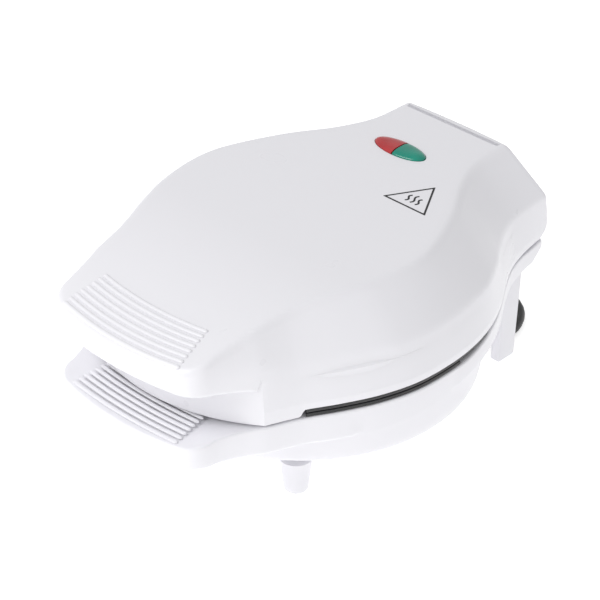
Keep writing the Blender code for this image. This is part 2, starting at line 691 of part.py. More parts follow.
def lid_lead():
    lead = ((14, 109.6, 74), (14, 101, 76), (12, 93, 83), (8, 85, 90), (2, 70, 91), (-6, 55, 90))
    tube("lid_lead", smooth_path(lead, 5), 1.3, CREAM)


# --- Mains cord ------------------------------------------------------------------------------------------------


def mains_cord():
    start, end = Vector(RELIEF_START), Vector(RELIEF_END)
    add("strain_relief", cylinder(start, end - (end - start).normalized() * GAP, 5.2, 3.7, segments=16), CABLE)
    tube("mains_cord", smooth_path(CORD_ROUTE, 14), CORD / 2, CABLE)
    inner, outer = COIL_RADIUS - CORD, COIL_RADIUS + CORD
    profile = ((inner, GAP), (outer, GAP), (outer, COIL_HEIGHT), (inner, COIL_HEIGHT))
    add("cord_coil", turned(profile, COIL_CENTRE, 32, ring=True), CABLE)
    tube("cord_tail", smooth_path(TAIL_ROUTE, 8), CORD / 2, CABLE)
    wide, deep, thick = PLUG_SIZE
    lying = Matrix.Translation(PLUG_AT) @ Matrix.Rotation(math.radians(PLUG_TURN), 4, "Z")
    body = box((-wide / 2, GAP, -thick / 2), (wide / 2, deep, thick / 2), bevel=2.5)
    bmesh.ops.transform(body, matrix=lying, verts=body.verts)
    add("plug", body, CABLE)
    broad, length, high = BLADE_SIZE
    for number, side in enumerate((-1, 1), 1):
        x = side * BLADE_PITCH / 2
        blade = box((x - broad / 2, deep + GAP, -high / 2), (x + broad / 2, deep + length, high / 2), bevel=0.3)
        bmesh.ops.transform(blade, matrix=lying, verts=blade.verts)
        add(f"plug_blade_{number}", blade, BRASS)


def to_metres(objects):
    for obj in objects:
        if obj.type == "MESH":
            obj.data.transform(Matrix.Scale(MM, 4))
            obj.data.shade_smooth()
            obj.data.set_sharp_from_angle(angle=math.radians(30))


def hang_on_hinge(objects):
    """Parents the lid's pieces to an empty on the hinge axis, which leaves them where they are."""
    hinge = bpy.data.objects.new("lid_hinge_axis", None)
    hinge.location = (0, HINGE_Y * MM, HINGE_Z * MM)
    bpy.context.scene.collection.objects.link(hinge)
    for obj in objects:
        obj.parent = hinge
        obj.location = -hinge.location


def make_base():
    lower_housing()
    heated_half("lower", LOWER_WING_REAR)
    hinge_pins()
    electrics()
    mains_cord()


def make_lid():
    upper_housing()
    for obj in heated_half("upper", UPPER_WING_REAR):
        mirrored(obj)
    lens("red_lens", -1, RED)
    lens("green_lens", 1, GREEN)
    lamps()
    lid_lead()


def main():
    clear_scene()
    make_base()
    base = set(bpy.data.objects)
    make_lid()
    lid = [obj for obj in bpy.data.objects if obj not in base]
    to_metres(bpy.data.objects)
    hang_on_hinge(lid)


main()
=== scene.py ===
"""The looks of the donut maker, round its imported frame. Shapes are worked out in millimetres, meshes are in metres."""

import json
import math

import bmesh
import bpy
from mathutils import Matrix, Vector


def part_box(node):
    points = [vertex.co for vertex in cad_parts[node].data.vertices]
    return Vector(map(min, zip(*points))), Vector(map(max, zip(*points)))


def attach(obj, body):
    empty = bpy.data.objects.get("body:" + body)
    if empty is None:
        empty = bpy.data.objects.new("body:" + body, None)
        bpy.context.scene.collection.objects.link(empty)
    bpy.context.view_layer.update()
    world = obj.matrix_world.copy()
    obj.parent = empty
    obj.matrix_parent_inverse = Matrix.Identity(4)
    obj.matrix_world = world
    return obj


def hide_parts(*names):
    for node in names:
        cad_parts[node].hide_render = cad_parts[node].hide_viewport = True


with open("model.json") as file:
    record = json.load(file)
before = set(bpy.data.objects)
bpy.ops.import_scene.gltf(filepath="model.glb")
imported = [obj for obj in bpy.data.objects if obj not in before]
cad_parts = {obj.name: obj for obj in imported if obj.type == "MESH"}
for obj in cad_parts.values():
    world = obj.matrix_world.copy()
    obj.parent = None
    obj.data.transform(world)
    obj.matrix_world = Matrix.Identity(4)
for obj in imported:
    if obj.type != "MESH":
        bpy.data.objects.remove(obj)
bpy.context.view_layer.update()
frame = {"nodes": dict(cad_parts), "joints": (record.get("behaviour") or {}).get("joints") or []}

MM = 0.001


def node_box(node):
    """A CAD node's lowest and highest corners, in millimetres."""
    low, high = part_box(node)
    return Vector(low) / MM, Vector(high) / MM


lid_low, lid_high = node_box("upper_housing")
base_low = node_box("lower_housing")[0]
upper_plate_low = node_box("upper_plate")[0]
lower_plate_low, lower_plate_high = node_box("lower_plate")
hinge = Vector(frame["joints"][0]["pos_m"]) / MM

# Overall shape
BODY_Y = (lower_plate_low.y + lower_plate_high.y) / 2
PLATE_RADIUS = 91.5
WELL_RADIUS = PLATE_RADIUS + 0.8  # the opening in each housing that the plate sits in
LID_TOP = lid_high.z
LID_BOTTOM = lid_low.z
LID_FRONT = lid_low.y
REAR = lid_high.y
NOTCH_LIFT, NOTCH_FRONT = 3.7, -74.5  # behind this point the lid's edge is higher and shows the plates' rims
BASE_RIM = 57.0
BASE_FRONT, BASE_REAR = base_low.y, 128.0
BOWL_BOTTOM = 24.0
BOWL_RADIUS = 94.5
WALL = 2.5

# Handles, and the corner where the lid's front wall meets its side
CORNER_X, CORNER_Y = 61.0, -92.5
FRONT_WALL_Y = -112.5
LID_HANDLE_HALF, BASE_HANDLE_HALF = 50.5, 50.0
HANDLE_ARC, HANDLE_CORNER = 185.0, 14.0
BEND_Y, BEND = -35.5, 0.00186  # the lid's top falls away in front of this
LID_HANDLE_UNDER, LID_LIP_RISE = 78.8, 6.2
BASE_HANDLE_UNDER, SHELF_UNDER = 41.0, 50.0
RIB_COUNT = 8

# Half widths (y, x) of the outline at the top edge, at the shoulder and at the parting line
TOP_WIDTHS = ((-122.5, 50.5), (-100, 53.5), (-72.5, 57.5), (-50, 65.3), (-30, 71.5), (-5, 75), (14, 72.5),
              (46, 58.6), (70, 43.8), (90, 36), (112, 34.5))
SHOULDER_WIDTHS = ((-105.5, 56), (-78.5, 63.5), (-60.5, 72), (-45.5, 79.5), (-26, 88), (2, 91.5), (39.5, 86),
                   (60.5, 76), (76.5, 65), (94.5, 56), (113, 53), (128, 53))
SKIRT_WIDTHS = ((-92.5, 61), (-74.5, 69), (-58.5, 78.3), (-40, 87.4), (-20, 93.4), (0, 95), (20, 93.8), (40, 89),
                (58, 81), (76.5, 69.5), (91.5, 61.3), (105, 57), (117, 54.6), (127.5, 52.8))
LAST_STATION = 117.0
REAR_CORNER = 3.0
REAR_BOW = 1.0
REAR_BLEND_Y = 60.0  # points behind this stretch to each level's rear edge

# Steps of the fine surface
FRONT_POINTS, CORNER_POINTS, HANDLE_SIDE_POINTS = 9, 8, 8
HANDLE_COUNT = FRONT_POINTS + CORNER_POINTS + HANDLE_SIDE_POINTS  # outline points before the body corner
SIDE_STEP, NOTCH_STEP = 3.0, 0.8
ROUND_STEPS = 5


# --- Small helpers ---------------------------------------------------------------------------------------------


def blend(low, high, at):
    """Rises smoothly from 0 at low to 1 at high."""
    t = min(max((at - low) / (high - low), 0), 1)
    return t * t * (3 - 2 * t)


def mesh_object(name, bm, material, sharp=35):
    bmesh.ops.recalc_face_normals(bm, faces=bm.faces)
    mesh = bpy.data.meshes.new(name)
    bm.to_mesh(mesh)
    bm.free()
    mesh.transform(Matrix.Scale(MM, 4))
    mesh.shade_smooth()
    mesh.set_sharp_from_angle(angle=math.radians(sharp))
    mesh.materials.append(material)
    obj = bpy.data.objects.new(name, mesh)
    bpy.context.scene.collection.objects.link(obj)
    return obj


def boolean(obj, bm, operation, sharp=35):
    """Applies one exact Boolean with a solid given in millimetres."""
    tool = mesh_object("tool", bm, obj.data.materials[0])
    modifier = obj.modifiers.new(operation, "BOOLEAN")
    modifier.operation, modifier.object = operation, tool
    bpy.context.view_layer.update()
    result = bpy.data.meshes.new_from_object(obj.evaluated_get(bpy.context.evaluated_depsgraph_get()))
    obj.modifiers.clear()
    obj.data = result
    result.shade_smooth()
    result.set_sharp_from_angle(angle=math.radians(sharp))
    bpy.data.objects.remove(tool)


def loft(rings, caps=(True, True), closed=False):
    bm = bmesh.new()
    loops = [[bm.verts.new(point) for point in ring] for ring in rings]
    count = len(rings[0])
    for lower, upper in zip(loops, loops[1:] + (loops[:1] if closed else [])):
        for i in range(count):
            j = (i + 1) % count
            bm.faces.new((lower[i], lower[j], upper[j], upper[i]))
    if not closed:
        for wanted, loop in zip(caps, (loops[0], loops[-1])):
            if wanted:
                bm.faces.new(loop)
    return bm


def ladder_loft(rings):
    """A closed solid through symmetric rings, whose end caps are strips from side to side."""
    bm = loft(rings, caps=(False, False))
    bm.verts.ensure_lookup_table()
    count = len(rings[0])
    for start in (0, (len(rings) - 1) * count):
        loop = bm.verts[start:start + count]
        for i in range(count // 2):
            bm.faces.new(list(dict.fromkeys((loop[i], loop[i + 1], loop[-i - 1], loop[-i]))))
    return bm


def turned(profile, centre=(0, 0), segments=48, closed=False):
    angles = [2 * math.pi * i / segments for i in range(segments)]
    rings = [[(centre[0] + r * math.cos(a), centre[1] + r * math.sin(a), z) for a in angles] for r, z in profile]
    return loft(rings, closed=closed)


def box(low, high, bevel=0.0):
    bm = bmesh.new()
    bmesh.ops.create_cube(bm, size=1)
    bmesh.ops.scale(bm, vec=[h - l for l, h in zip(low, high)], verts=bm.verts)
    bmesh.ops.translate(bm, vec=[(l + h) / 2 for l, h in zip(low, high)], verts=bm.verts)
    if bevel:
        bmesh.ops.bevel(bm, geom=list(bm.edges), offset=bevel, segments=3, profile=0.5, affect="EDGES")
    return bm


def aim(bm, start, end):
    """Puts a solid made along +Z from the origin onto the line from start to end."""
    start, end = Vector(start), Vector(end)
    turn = Vector((0, 0, 1)).rotation_difference(end - start).to_matrix().to_4x4()
    bmesh.ops.transform(bm, matrix=Matrix.Translation(start) @ turn, verts=bm.verts)
    return bm


def merge(target, source):
    """Adds one bmesh to another."""
    spare = bpy.data.meshes.new("spare")
    source.to_mesh(spare)
    source.free()
    target.from_mesh(spare)
    bpy.data.meshes.remove(spare)
    return target


def smooth_path(points, spacing):
    """Points about spacing apart on a Catmull-Rom curve through the given ones."""
    points = [Vector(p) for p in points]
    ends = [2 * points[0] - points[1]] + points + [2 * points[-1] - points[-2]]
    path = []
    for a, b, c, d in zip(ends, ends[1:], ends[2:], ends[3:]):
        steps = max(1, round((c - b).length / spacing))
        for i in range(steps):
            t = i / steps
            path.append(0.5 * (2 * b + (c - a) * t + (2 * a - 5 * b + 4 * c - d) * t**2
                               + (3 * b - a - 3 * c + d) * t**3))
    return path + [points[-1]]


def rounded(points, cuts):
    """A line through points whose inner corners are curves that start this far back from each corner."""
    line = [points[0]]
    for before, corner, after, cut in zip(points, points[1:], points[2:], cuts):
        start = corner + (before - corner).normalized() * min(cut, 0.49 * (before - corner).length)
        end = corner + (after - corner).normalized() * min(cut, 0.49 * (after - corner).length)
        for step in range(ROUND_STEPS + 1):
            t = step / ROUND_STEPS
            line.append(start * (1 - t) ** 2 + corner * (2 * t * (1 - t)) + end * t**2)
    return line + [points[-1]]


def interpolate(table, at):
    """Value at a position on the smooth curve through a table of (position, value)."""
    if at <= table[0][0]:
        return table[0][1]
    for i in range(len(table) - 1):
        (p0, v0), (p1, v1) = table[i], table[i + 1]
        if at <= p1:
            before = table[max(i - 1, 0)]
            after = table[min(i + 2, len(table) - 1)]
            slope0 = (v1 - before[1]) / (p1 - before[0])
            slope1 = (after[1] - v0) / (after[0] - p0)
            span, t = p1 - p0, (at - p0) / (p1 - p0)
            return (v0 * (2 * t**3 - 3 * t**2 + 1) + v1 * (3 * t**2 - 2 * t**3)
                    + span * (slope0 * (t**3 - 2 * t**2 + t) + slope1 * (t**3 - t**2)))
    return table[-1][1]


# --- Materials -------------------------------------------------------------------------------------------------


class Recipe:
    """A node material under construction, with short ways to add what most of them share."""

    def __init__(self, name, colour, roughness, metallic=0.0):
        self.material = bpy.data.materials.new(name)
        self.material.use_nodes = True
        self.tree = self.material.node_tree
        self.shader = self.tree.nodes["Principled BSDF"]
        self.set("Base Color", (*colour, 1))
        self.set("Roughness", roughness)
        self.set("Metallic", metallic)
        self.place = self.tree.nodes.new("ShaderNodeTexCoord").outputs["Object"]

    def set(self, socket, value):
        self.shader.inputs[socket].default_value = value

    def link(self, output, socket):
        self.tree.links.new(output, socket)

    def noise(self, scale, detail=2.0, roughness=0.5, stretch=None):
        node = self.tree.nodes.new("ShaderNodeTexNoise")
        node.inputs["Scale"].default_value = scale
        node.inputs["Detail"].default_value = detail
        node.inputs["Roughness"].default_value = roughness
        source = self.place
        if stretch:
            mapping = self.tree.nodes.new("ShaderNodeMapping")
            mapping.inputs["Scale"].default_value = stretch
            self.link(source, mapping.inputs["Vector"])
            source = mapping.outputs["Vector"]
        self.link(source, node.inputs["Vector"])
        return node.outputs["Fac"]

    def colours(self, source, stops):
        node = self.tree.nodes.new("ShaderNodeValToRGB")
        elements = node.color_ramp.elements
        while len(elements) < len(stops):
            elements.new(0.5)
        for element, (at, colour) in zip(elements, stops):
            element.position, element.color = at, (*colour, 1)
        self.link(source, node.inputs["Fac"])
        self.link(node.outputs["Color"], self.shader.inputs["Base Color"])

    def vary_roughness(self, source, low, high):
        """Maps the middle of a 0 to 1 pattern onto a range of roughness."""
        node = self.tree.nodes.new("ShaderNodeMapRange")
        node.inputs["From Min"].default_value, node.inputs["From Max"].default_value = 0.3, 0.7
        node.inputs["To Min"].default_value, node.inputs["To Max"].default_value = low, high
        self.link(source, node.inputs["Value"])
        self.link(node.outputs["Result"], self.shader.inputs["Roughness"])

    def bump(self, *layers):
        """Layers of (pattern, strength, depth in metres), each laid on the last."""
        normal = None
        for source, strength, depth in layers:
            node = self.tree.nodes.new("ShaderNodeBump")
            node.inputs["Strength"].default_value = strength
            node.inputs["Distance"].default_value = depth
            self.link(source, node.inputs["Height"])
            if normal:
                self.link(normal, node.inputs["Normal"])
            normal = node.outputs["Normal"]
        self.link(normal, self.shader.inputs["Normal"])


def white_plastic():
    """Glossy moulded polypropylene: a faint flow ripple, fine surface grain and slightly uneven gloss."""
    recipe = Recipe("white_plastic", (0.79, 0.785, 0.82), 0.3)
    recipe.vary_roughness(recipe.noise(35, 3), 0.27, 0.36)
    recipe.bump((recipe.noise(18, 1), 0.05, 0.002), (recipe.noise(2600, 2), 0.05, 0.0001))
    recipe.set("Specular IOR Level", 0.45)
    recipe.set("Subsurface Weight", 0.06)
    recipe.set("Subsurface Radius", (0.004, 0.004, 0.004))
    recipe.set("Subsurface Scale", 0.6)
    return recipe.material


def nonstick():
    """Sprayed black non-stick coating with fine pale speckles and a soft orange peel."""
    recipe = Recipe("nonstick_coating", (0.012, 0.012, 0.013), 0.4)
    speckle = recipe.noise(3200, 1)
    recipe.colours(speckle, ((0.0, (0.012, 0.012, 0.013)), (0.66, (0.014, 0.014, 0.015)), (0.74, (0.10, 0.10, 0.105))))
    recipe.vary_roughness(recipe.noise(90, 3), 0.34, 0.5)
    recipe.bump((recipe.noise(1400, 2), 0.25, 0.00008))
    return recipe.material


def polished_steel(name="zinc_plated_steel", colour=(0.62, 0.63, 0.65), low=0.22, high=0.4):
    recipe = Recipe(name, colour, 0.3, 1.0)
    recipe.vary_roughness(recipe.noise(300, 4, stretch=(1, 1, 8)), low, high)
    recipe.bump((recipe.noise(900, 3), 0.12, 0.00005))
    return recipe.material


def aluminised_sheet():
    recipe = Recipe("aluminised_sheet", (0.7, 0.71, 0.73), 0.35, 1.0)
    recipe.vary_roughness(recipe.noise(60, 5, 0.65), 0.25, 0.5)
    recipe.bump((recipe.noise(220, 4), 0.15, 0.0002))
    return recipe.material


def lens_plastic(name, colour, deep):
    """Tinted translucent acrylic, with a moulded ripple and a tint that varies at random between a deeper and a
    lighter tone.
    """
    recipe = Recipe(name, colour, 0.18)
    recipe.colours(recipe.noise(160, 2), ((0.3, deep), (0.7, colour)))
    recipe.vary_roughness(recipe.noise(240, 2), 0.14, 0.24)
    recipe.bump((recipe.noise(420, 1), 0.12, 0.0002))
    recipe.set("Transmission Weight", 0.15)
    recipe.set("IOR", 1.49)
    recipe.set("Coat Weight", 0.3)
    return recipe.material


def printed_ink():
    recipe = Recipe("black_print", (0.02, 0.02, 0.022), 0.5)
    recipe.vary_roughness(recipe.noise(1500, 2), 0.42, 0.6)
    recipe.bump((recipe.noise(4000, 2), 0.1, 0.00002))
    return recipe.material


def cable_rubber():
    """Satin black PVC sheath: fine extrusion grain and a few dusty, duller stretches."""
    recipe = Recipe("black_cable_rubber", (0.018, 0.018, 0.019), 0.5)
    recipe.colours(recipe.noise(40, 4), ((0.3, (0.014, 0.014, 0.015)), (0.75, (0.03, 0.03, 0.031))))
    recipe.vary_roughness(recipe.noise(70, 3), 0.4, 0.6)
    recipe.bump((recipe.noise(1800, 3), 0.2, 0.0001))
    return recipe.material


def ceramic():
    recipe = Recipe("cream_ceramic", (0.82, 0.78, 0.68), 0.55)
    recipe.colours(recipe.noise(120, 5), ((0.3, (0.78, 0.73, 0.62)), (0.7, (0.86, 0.83, 0.74))))
    recipe.vary_roughness(recipe.noise(400, 3), 0.45, 0.65)
    recipe.bump((recipe.noise(1500, 3), 0.3, 0.0001))
    return recipe.material


def woven_sleeve():
    """Varnished glass-fibre braid: one set of fine, wavy diagonal strands."""
    recipe = Recipe("glass_fibre_sleeve", (0.82, 0.8, 0.72), 0.6)
    strands = recipe.tree.nodes.new("ShaderNodeTexWave")
    strands.inputs["Scale"].default_value = 900
    strands.inputs["Distortion"].default_value = 2.0
    strands.bands_direction = "DIAGONAL"
    recipe.link(recipe.place, strands.inputs["Vector"])
    recipe.colours(strands.outputs["Fac"], ((0.2, (0.66, 0.63, 0.54)), (0.8, (0.86, 0.84, 0.77))))
    recipe.vary_roughness(strands.outputs["Fac"], 0.5, 0.75)
    recipe.bump((strands.outputs["Fac"], 0.5, 0.0002))
    return recipe.material


def lamp_glass():
    recipe = Recipe("lamp_glass", (0.85, 0.72, 0.62), 0.08)
    recipe.vary_roughness(recipe.noise(500, 2), 0.04, 0.14)
    recipe.bump((recipe.noise(300, 1), 0.05, 0.0002))
    recipe.set("Transmission Weight", 0.7)
    recipe.set("IOR", 1.5)
    return recipe.material


def brass():
    recipe = Recipe("nickelled_brass", (0.72, 0.6, 0.4), 0.28, 1.0)
    recipe.vary_roughness(recipe.noise(350, 4, stretch=(1, 6, 1)), 0.18, 0.36)
    recipe.bump((recipe.noise(1200, 3), 0.1, 0.00005))
    return recipe.material


WHITE = white_plastic()
NONSTICK = nonstick()
STEEL = polished_steel()
SHEET = aluminised_sheet()
SHEATH = polished_steel("heater_sheath", (0.42, 0.4, 0.38), 0.35, 0.55)
RED = lens_plastic("red_lens", (0.52, 0.03, 0.035), (0.44, 0.022, 0.026))
GREEN = lens_plastic("green_lens", (0.0, 0.3, 0.21), (0.0, 0.24, 0.17))
INK = printed_ink()
CABLE = cable_rubber()
CERAMIC = ceramic()
SLEEVE = woven_sleeve()
GLASS = lamp_glass()
BRASS = brass()


# --- The shared vase-shaped outline ----------------------------------------------------------------------------


def stations():
    """Places along the side, closer together where the lid's lower edge steps up."""
    ys, y = [], CORNER_Y
    while y < LAST_STATION - SIDE_STEP / 2:
        y += NOTCH_STEP if abs(y - NOTCH_FRONT) < 4 else SIDE_STEP
        ys.append(min(y, LAST_STATION))
    if ys[-1] < LAST_STATION:
        ys.append(LAST_STATION)
    return ys


STATIONS = stations()


def side_of(widths, rear):
    """Right side of the outline from behind the body corner to the middle of the rear edge."""
    stretch = (rear - REAR_CORNER - REAR_BLEND_Y) / (LAST_STATION - REAR_BLEND_Y)
    ys = [y if y < REAR_BLEND_Y else REAR_BLEND_Y + (y - REAR_BLEND_Y) * stretch for y in STATIONS]
    points = [(interpolate(widths, y), y) for y in ys]
    corner_x, corner_y = points[-1][0] - REAR_CORNER, rear - REAR_CORNER
    for turn in (15, 30, 45, 60, 75, 90):
        a = math.radians(turn)
        points.append((corner_x + REAR_CORNER * math.cos(a), corner_y + REAR_CORNER * math.sin(a)))
    for part in (0.8, 0.6, 0.4, 0.2, 0):
        points.append((corner_x * part, rear + REAR_BOW * (1 - part**2)))
    return points


def handle_front(half, front, corner):
    """From the middle of a handle's front, round its corner and along its side to the body corner."""
    centre_x = half - HANDLE_CORNER
    tilt = math.asin(centre_x / (HANDLE_ARC - HANDLE_CORNER))
    join_x = HANDLE_ARC * math.sin(tilt)
    centre_y = front + HANDLE_ARC - (HANDLE_ARC - HANDLE_CORNER) * math.cos(tilt)
    points = []
    for i in range(FRONT_POINTS):
        x = join_x * i / FRONT_POINTS
        points.append((x, front + HANDLE_ARC - math.sqrt(HANDLE_ARC**2 - x**2)))
    for i in range(CORNER_POINTS + 1):
        a = -math.pi / 2 + tilt + (math.pi / 2 - tilt) * i / CORNER_POINTS
        points.append((centre_x + HANDLE_CORNER * math.cos(a), centre_y + HANDLE_CORNER * math.sin(a)))
    for i in range(1, HANDLE_SIDE_POINTS + 1):
        t = i / HANDLE_SIDE_POINTS
        y = centre_y + (corner[1] - centre_y) * t
        points.append((half + (corner[0] - half) * (0.55 * t + 0.45 * t * t), y))
    return points


def front_wall():
    """The curved wall set back under the lid's handle, with one point for each point of handle_front."""
    rise = CORNER_Y - FRONT_WALL_Y
    radius = (CORNER_X**2 + rise**2) / (2 * rise)
    return [(x, FRONT_WALL_Y + radius - math.sqrt(radius**2 - x**2))
            for x in (CORNER_X * i / HANDLE_COUNT for i in range(HANDLE_COUNT + 1))]


def inset(points, distance):
    """Moves a right half outline inwards, keeping its ends on the middle plane."""
    moved = []
    for i, (x, y) in enumerate(points):
        before = points[i - 1] if i else (-points[1][0], points[1][1])
        after = points[i + 1] if i + 1 < len(points) else (-points[-2][0], points[-2][1])
        along = Vector((after[0] - before[0], after[1] - before[1])).normalized()
        moved.append((max(x - along.y * distance, 0), y + along.x * distance))
    moved[0], moved[-1] = (0, moved[0][1]), (0, moved[-1][1])
    return moved


def full_outline(widths, rear, half, front):
    corner = (interpolate(widths, CORNER_Y), CORNER_Y)
    return handle_front(half, front, corner) + side_of(widths, rear)


def body_outline(rear):
    return front_wall() + side_of(SKIRT_WIDTHS, rear)


def circle(radius):
    """A circle round the body's centre, with one point for each point of the body outline."""
    centre = Vector((0, BODY_Y))
    rays = [(Vector(p) - centre).normalized() for p in body_outline(REAR)]
    return [(r.x * radius, BODY_Y + r.y * radius) for r in rays]


def raised(outline, height):
    """3-D points over a half outline; height is a number, a function of y or one number a point."""
    if callable(height):
        height = [height(y) for x, y in outline]
    elif not isinstance(height, list):
        height = [height] * len(outline)
    return [Vector((x, y, z)) for (x, y), z in zip(outline, height)]


def rounded_rows(levels, cuts):
    """The half-outline levels with the corners between them rounded; a cut is a number or a function of y."""
    columns = [rounded(list(column), [cut(column[0].y) if callable(cut) else cut for cut in cuts])
               for column in zip(*levels)]
    return list(zip(*columns))


def closed_solid(rows):
    """A closed solid through half-outline rows, mirrored onto the left."""
    return ladder_loft([[*row, *(Vector((-p.x, p.y, p.z)) for p in reversed(row[1:-1]))] for row in rows])


def top_height(y):
    return LID_TOP - BEND * max(BEND_Y - y, 0) ** 2


def shoulder_height(y):
    return max(86, top_height(y) - 6 - 23 * blend(-125, -60, y))


def lid_under(y):
    return LID_HANDLE_UNDER + LID_LIP_RISE * (1 - blend(-132, -90, y))


def lid_edge(y):
    return LID_BOTTOM + NOTCH_LIFT * blend(NOTCH_FRONT - 1.5, NOTCH_FRONT + 1.2, y)


def rim_height(y):
    return BASE_RIM - 3.5 * (max(-95 - y, 0) / 38) ** 2 + 3.5 * blend(15, 62, y) - 0.7 * blend(105, 113, y)


def base_under(y):
    return BASE_HANDLE_UNDER + (SHELF_UNDER - BASE_HANDLE_UNDER) * blend(-70, 95, y)


# --- Lid -------------------------------------------------------------------------------------------------------


def lid_levels():
    """The lid's outer levels, from the top face down to the opening for the plate."""
    top = full_outline(TOP_WIDTHS, REAR - 17, LID_HANDLE_HALF, LID_FRONT + 1.5)
    shoulder = raised(full_outline(SHOULDER_WIDTHS, REAR - 4, LID_HANDLE_HALF + 1, LID_FRONT), shoulder_height)
    handle = raised(full_outline(SKIRT_WIDTHS, REAR - REAR_BOW, LID_HANDLE_HALF + 0.6, LID_FRONT + 0.4), lid_under)
    wall = raised(body_outline(REAR - REAR_BOW), lambda y: lid_under(y) - 0.3)
    turn = raised(body_outline(REAR - REAR_BOW), 66)
    edge = raised(body_outline(REAR - 7), lid_edge)
    for i in range(HANDLE_COUNT, len(shoulder)):
        # Behind the handle the side runs straight from the shoulder to where it turns under
        for level, at in ((handle, 0.2), (wall, 0.3)):
            level[i] = shoulder[i].lerp(turn[i], at)
    return [raised(inset(top, 5.8), top_height), raised(top, top_height), shoulder, handle, wall, turn, edge,
            raised(circle(WELL_RADIUS), [point.z for point in edge])], top


def lid_shell():
    levels, top = lid_levels()
    cuts = [
        lambda y: 5.0 + 1.5 * blend(-90, -125, y),
        lambda y: 3.0 + 2.0 * blend(-60, -100, y),
        lambda y: 2.2 * blend(CORNER_Y + 1, CORNER_Y - 4, y) + 0.05,
        0.8,
        lambda y: 0.3 + 6 * blend(100, 118, y),
        0.7,
    ]
    body = body_outline(REAR - REAR_BOW)
    inner = [
        raised(circle(WELL_RADIUS), 65),
        raised(inset(body, WALL), 65.2),
        raised(inset(body, WALL), lambda y: lid_under(y) + 0.5),
        raised(inset(full_outline(SKIRT_WIDTHS, REAR - REAR_BOW, LID_HANDLE_HALF, LID_FRONT), WALL + 1.6),
               lambda y: lid_under(y) + WALL),
        raised(inset(full_outline(SHOULDER_WIDTHS, REAR - 4, LID_HANDLE_HALF, LID_FRONT), WALL),
               lambda y: shoulder_height(y) - 0.5),
        raised(inset(top, WALL + 1), lambda y: top_height(y) - WALL),
    ]
    sharp = 25
    obj = mesh_object("lid_shell", closed_solid(rounded_rows(levels, cuts) + inner), WHITE, sharp)
    reach = 40.6  # the cut-out round the base's barrel
    boolean(obj, box((-reach, hinge.y - 12, LID_BOTTOM - 2), (reach, REAR + 3, hinge.z + 11.7)), "DIFFERENCE", sharp)
    boolean(obj, lens_oval(0.35, LID_TOP - WALL - 1, LID_TOP + 1), "DIFFERENCE", sharp)
    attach(obj, "lid")
    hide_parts("upper_housing")


def cheeks():
    """The two bosses inside the lid's rear corners that turn on the hinge pins."""
    bm = bmesh.new()
    profile = ((2.1, 0.5), (6.2, 0), (7.0, 0.6), (7.0, 10.2), (2.1, 10.2))
    for side in (-1, 1):
        merge(bm, aim(turned(profile, segments=32, closed=True), (side * 40.8, hinge.y, hinge.z),
                      (side * 51, hinge.y, hinge.z)))
    obj = mesh_object("lid_hinge_cheeks", bm, WHITE)
    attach(obj, "lid")


# --- Base ------------------------------------------------------------------------------------------------------


def base_shell():
    full = full_outline(SKIRT_WIDTHS, BASE_REAR, BASE_HANDLE_HALF, BASE_FRONT)
    low = full_outline(SKIRT_WIDTHS, BASE_REAR - 10, BASE_HANDLE_HALF - 0.6, BASE_FRONT + 0.6)
    rim = raised(full, rim_height)
    side = raised(full, lambda y: rim_height(y) - 4.3)
    under = raised(low, base_under)
    join = raised(circle(BOWL_RADIUS - 0.3), lambda y: base_under(y) - 0.6)
    for i, (edge, bowl) in enumerate(zip(under, join)):
        # Where the rim stands no further out than the bowl, the side runs straight down into it
        spread = (edge.xy - Vector((0, BODY_Y))).length - BOWL_RADIUS
        if i >= HANDLE_COUNT and spread < 1:
            side[i], under[i] = rim[i].lerp(bowl, 0.5), rim[i].lerp(bowl, 0.9)
    heights = [point.z for point in rim]
    levels = [raised(circle(WELL_RADIUS), [z - 3 for z in heights]), raised(circle(WELL_RADIUS), heights),
              rim, side, under, join, raised(circle(93.0), 32), raised(circle(91.6), BOWL_BOTTOM),
              raised(circle(80), BOWL_BOTTOM)]
    cuts = [0.4, 1.5, 1.0, 2.4, 1.5, 2.0, 5.5]
    inner = [
        raised(circle(82), BOWL_BOTTOM + WALL),
        raised(circle(90), BOWL_BOTTOM + 8),
        raised(circle(WELL_RADIUS - 0.6), lambda y: base_under(y) + 1.6),
        raised(inset(low, 3.2), lambda y: base_under(y) + 2.6),
        raised(inset(full, WALL), lambda y: rim_height(y) - 2.2),
        raised(circle(WELL_RADIUS - 0.2), [z - 3.1 for z in heights]),
    ]
    obj = mesh_object("base_shell", closed_solid(inner + rounded_rows(levels, cuts)), WHITE, sharp=40)
    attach(obj, "base")
    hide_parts("lower_housing")


def bowl_radius(z):
    """Outer radius of the bowl near its rounded bottom edge."""
    return 91.6 - 5.5 * (max(BOWL_BOTTOM + 4.5 - z, 0) / 4.5) ** 2 + 1.4 * min(max(z - 28, 0), 10) / 10


FOOT_X, FOOT_Y = 52.5, -62.0


